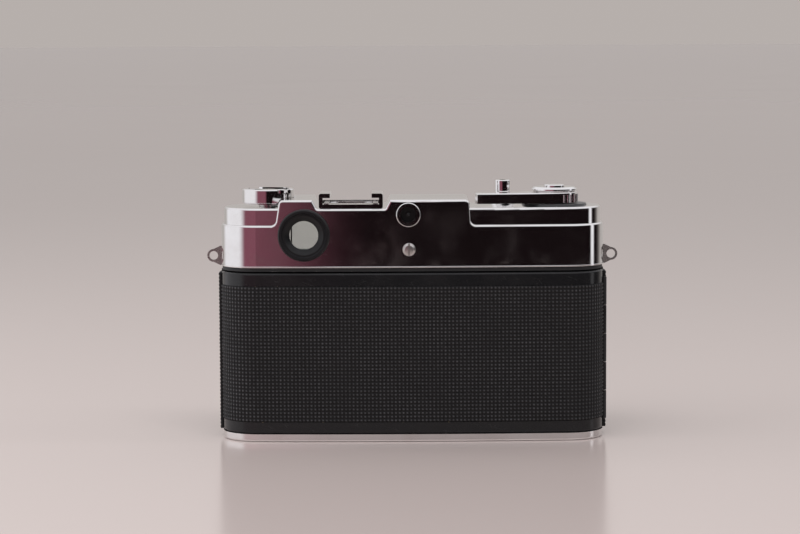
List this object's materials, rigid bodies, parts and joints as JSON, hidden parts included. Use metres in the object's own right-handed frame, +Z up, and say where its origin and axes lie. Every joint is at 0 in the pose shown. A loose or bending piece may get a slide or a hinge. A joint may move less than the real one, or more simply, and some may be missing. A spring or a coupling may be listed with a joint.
{
  "type": "rangefinder film camera",
  "caption": "Compact rangefinder film camera with a hinged back door, wind lever, rewind crank, leaf-shutter lens, accessory shoe and tripod socket.",
  "frame": {"origin": "centre of the tripod socket's mouth, in the plane of the base plate's underside", "axes": "+X along the body towards the rewind knob, +Y out of the back door, -Y out of the lens, +Z up"},
  "size_m": [0.1462, 0.0668, 0.0912],
  "materials": {
    "chrome": "polished chrome plate",
    "satin_chrome": "satin chrome plate",
    "steel": "turned steel",
    "blade_steel": "blued spring steel",
    "brass": "turned brass",
    "black_casting": "matt black paint on die-cast alloy",
    "black_enamel": "gloss black enamel on pressed brass",
    "black_anodised": "black anodised",
    "leatherette": "embossed black vinyl cloth",
    "black_plastic": "moulded black plastic",
    "foam": "black felt",
    "clear_glass": "clear glass",
    "frosted_glass": "frosted glass",
    "lens_glass": "coated glass"
  },
  "bodies": {
    "camera_body": {"body_casting": "black_casting", "front_leatherette": "leatherette", "light_seals": "foam", "base_plate": "chrome", "tripod_socket": "steel", "base_screws": "steel", "top_cover": "chrome", "cover_screw": "steel", "strap_lugs": "steel", "accessory_shoe": "chrome", "shoe_spring": "steel", "eyepiece_ring": "black_plastic", "eyepiece_lens": "clear_glass", "viewfinder_housing": "black_casting", "beam_splitter": "clear_glass", "window_bezels": "black_plastic", "viewfinder_window": "clear_glass", "illumination_window": "frosted_glass", "rangefinder_window": "clear_glass", "sync_socket": "chrome", "sync_contact": "black_plastic", "door_hinge_pin": "steel", "wind_base_ring": "black_anodised", "counter_window": "clear_glass", "button_collar": "chrome", "lens_mount_plate": "chrome"},
    "back_door": {"door_shell": "black_enamel", "door_leatherette": "leatherette", "pressure_spring": "steel"},
    "pressure_plate": {"pressure_plate": "black_casting"},
    "wind_lever": {"wind_lever": "chrome", "wind_hub_cap": "chrome"},
    "take_up_spool": {"take_up_spool": "black_plastic"},
    "sprocket": {"sprocket": "black_plastic"},
    "counter_dial": {"counter_dial": "black_anodised"},
    "shutter_button": {"shutter_button": "chrome"},
    "rewind_release_button": {"rewind_release_button": "steel"},
    "door_latch": {"door_latch": "steel"},
    "rewind_knob": {"rewind_knob": "chrome", "rewind_shaft": "steel"},
    "rewind_crank": {"rewind_crank": "chrome"},
    "crank_handle": {"crank_handle": "chrome"},
    "focus_ring": {"focus_ring": "satin_chrome"},
    "shutter_unit": {"shutter_housing": "black_anodised", "front_bezel": "black_anodised", "front_element": "lens_glass", "rear_element": "lens_glass"},
    "speed_ring": {"speed_ring": "satin_chrome"},
    "aperture_ring": {"aperture_ring": "black_anodised"},
    "self_timer_lever": {"self_timer_lever": "chrome"},
    "shutter_blade_1": {"shutter_blade_1": "blade_steel"},
    "aperture_blade_1": {"aperture_blade_1": "blade_steel"},
    "shutter_blade_2": {"shutter_blade_2": "blade_steel"},
    "aperture_blade_2": {"aperture_blade_2": "blade_steel"},
    "shutter_blade_3": {"shutter_blade_3": "blade_steel"},
    "aperture_blade_3": {"aperture_blade_3": "blade_steel"},
    "shutter_blade_4": {"shutter_blade_4": "blade_steel"},
    "aperture_blade_4": {"aperture_blade_4": "blade_steel"},
    "shutter_blade_5": {"shutter_blade_5": "blade_steel"},
    "aperture_blade_5": {"aperture_blade_5": "blade_steel"}
  },
  "joints": [
    {"name": "back_door_swing", "type": "hinge", "parent": "camera_body", "child": "back_door", "pos_m": [-0.0682, 0.003, 0.03], "axis": [0, 0, 1], "range_deg": [0, 120]},
    {"name": "pressure_plate_give", "type": "slide", "parent": "back_door", "child": "pressure_plate", "axis": [0, 1, 0], "range_m": [0, 0.0008], "stiffness_N_per_m": 600, "springref_m": -0.001},
    {"name": "wind_lever_stroke", "type": "hinge", "parent": "camera_body", "child": "wind_lever", "pos_m": [-0.0506, -0.001, 0.085], "axis": [0, 0, 1], "range_deg": [0, 175]},
    {"name": "take_up_spool_turn", "type": "hinge", "parent": "camera_body", "child": "take_up_spool", "pos_m": [-0.0506, -0.001, 0.031], "axis": [0, 0, 1], "continuous": true},
    {"name": "sprocket_turn", "type": "hinge", "parent": "camera_body", "child": "sprocket", "pos_m": [-0.0295, 0.0052, 0.031], "axis": [0, 0, 1], "continuous": true},
    {"name": "frame_counter_turn", "type": "hinge", "parent": "camera_body", "child": "counter_dial", "pos_m": [-0.0385, -0.008, 0.07], "axis": [0, 0, 1], "continuous": true},
    {"name": "shutter_button_press", "type": "slide", "parent": "camera_body", "child": "shutter_button", "axis": [0, 0, -1], "range_m": [0, 0.002], "stiffness_N_per_m": 250, "springref_m": -0.002},
    {"name": "rewind_release_press", "type": "slide", "parent": "camera_body", "child": "rewind_release_button", "axis": [0, 0, 1], "range_m": [0, 0.0005], "stiffness_N_per_m": 200, "springref_m": -0.0005},
    {"name": "rewind_knob_lift", "type": "slide", "parent": "camera_body", "child": "door_latch", "axis": [0, 0, 1], "range_m": [0, 0.007]},
    {"name": "rewind_knob_turn", "type": "hinge", "parent": "door_latch", "child": "rewind_knob", "pos_m": [0.0512, -0.001, 0.085], "axis": [0, 0, 1], "continuous": true},
    {"name": "rewind_crank_flip", "type": "hinge", "parent": "rewind_knob", "child": "rewind_crank", "pos_m": [0.05563, -0.00575, 0.0878], "axis": [0.7314, 0.682, 0], "range_deg": [0, 170]},
    {"name": "crank_handle_turn", "type": "hinge", "parent": "rewind_crank", "child": "crank_handle", "pos_m": [0.04649, 0.00405, 0.086], "axis": [0, 0, 1], "continuous": true},
    {"name": "focus_ring_turn", "type": "hinge", "parent": "camera_body", "child": "focus_ring", "pos_m": [0, -0.022, 0.031], "axis": [0, -1, 0], "range_deg": [0, 70]},
    {"name": "lens_focus_travel", "type": "slide", "parent": "camera_body", "child": "shutter_unit", "axis": [0, -1, 0], "range_m": [0, 0.0027]},
    {"name": "speed_ring_turn", "type": "hinge", "parent": "shutter_unit", "child": "speed_ring", "pos_m": [0, -0.033, 0.031], "axis": [0, -1, 0], "range_deg": [0, 110]},
    {"name": "aperture_ring_turn", "type": "hinge", "parent": "shutter_unit", "child": "aperture_ring", "pos_m": [0, -0.039, 0.031], "axis": [0, -1, 0], "range_deg": [0, 84]},
    {"name": "self_timer_wind", "type": "hinge", "parent": "camera_body", "child": "self_timer_lever", "pos_m": [0.04, -0.018, 0.036], "axis": [0, -1, 0], "range_deg": [0, 90]},
    {"name": "shutter_blade_1_swing", "type": "hinge", "parent": "shutter_unit", "child": "shutter_blade_1", "pos_m": [0.02, -0.0293, 0.031], "axis": [0, 1, 0], "range_deg": [0, 39]},
    {"name": "aperture_blade_1_swing", "type": "hinge", "parent": "shutter_unit", "child": "aperture_blade_1", "pos_m": [0.02, -0.0331, 0.031], "axis": [0, -1, 0], "range_deg": [0, 30.1]},
    {"name": "shutter_blade_2_swing", "type": "hinge", "parent": "shutter_unit", "child": "shutter_blade_2", "pos_m": [0.00618, -0.0299, 0.05002], "axis": [0, 1, 0], "range_deg": [0, 39]},
    {"name": "aperture_blade_2_swing", "type": "hinge", "parent": "shutter_unit", "child": "aperture_blade_2", "pos_m": [0.00618, -0.0337, 0.05002], "axis": [0, -1, 0], "range_deg": [0, 30.1]},
    {"name": "shutter_blade_3_swing", "type": "hinge", "parent": "shutter_unit", "child": "shutter_blade_3", "pos_m": [-0.01618, -0.0305, 0.04276], "axis": [0, 1, 0], "range_deg": [0, 39]},
    {"name": "aperture_blade_3_swing", "type": "hinge", "parent": "shutter_unit", "child": "aperture_blade_3", "pos_m": [-0.01618, -0.0343, 0.04276], "axis": [0, -1, 0], "range_deg": [0, 30.1]},
    {"name": "shutter_blade_4_swing", "type": "hinge", "parent": "shutter_unit", "child": "shutter_blade_4", "pos_m": [-0.01618, -0.0311, 0.01924], "axis": [0, 1, 0], "range_deg": [0, 39]},
    {"name": "aperture_blade_4_swing", "type": "hinge", "parent": "shutter_unit", "child": "aperture_blade_4", "pos_m": [-0.01618, -0.0349, 0.01924], "axis": [0, -1, 0], "range_deg": [0, 30.1]},
    {"name": "shutter_blade_5_swing", "type": "hinge", "parent": "shutter_unit", "child": "shutter_blade_5", "pos_m": [0.00618, -0.0317, 0.01198], "axis": [0, 1, 0], "range_deg": [0, 39]},
    {"name": "aperture_blade_5_swing", "type": "hinge", "parent": "shutter_unit", "child": "aperture_blade_5", "pos_m": [0.00618, -0.0355, 0.01198], "axis": [0, -1, 0], "range_deg": [0, 30.1]}
  ],
  "couplings": [
    {"joint": "take_up_spool_turn", "follows": "wind_lever_stroke", "ratio": 1.36},
    {"joint": "sprocket_turn", "follows": "wind_lever_stroke", "ratio": 2.0571},
    {"joint": "frame_counter_turn", "follows": "wind_lever_stroke", "ratio": -0.0571},
    {"joint": "lens_focus_travel", "follows": "focus_ring_turn", "m_per_rad": 0.0022},
    {"joint": "shutter_blade_2_swing", "follows": "shutter_blade_1_swing", "ratio": 1},
    {"joint": "shutter_blade_3_swing", "follows": "shutter_blade_1_swing", "ratio": 1},
    {"joint": "shutter_blade_4_swing", "follows": "shutter_blade_1_swing", "ratio": 1},
    {"joint": "shutter_blade_5_swing", "follows": "shutter_blade_1_swing", "ratio": 1},
    {"joint": "aperture_blade_1_swing", "follows": "aperture_ring_turn", "ratio": 0.35714},
    {"joint": "aperture_blade_2_swing", "follows": "aperture_ring_turn", "ratio": 0.35714},
    {"joint": "aperture_blade_3_swing", "follows": "aperture_ring_turn", "ratio": 0.35714},
    {"joint": "aperture_blade_4_swing", "follows": "aperture_ring_turn", "ratio": 0.35714},
    {"joint": "aperture_blade_5_swing", "follows": "aperture_ring_turn", "ratio": 0.35714}
  ]
}
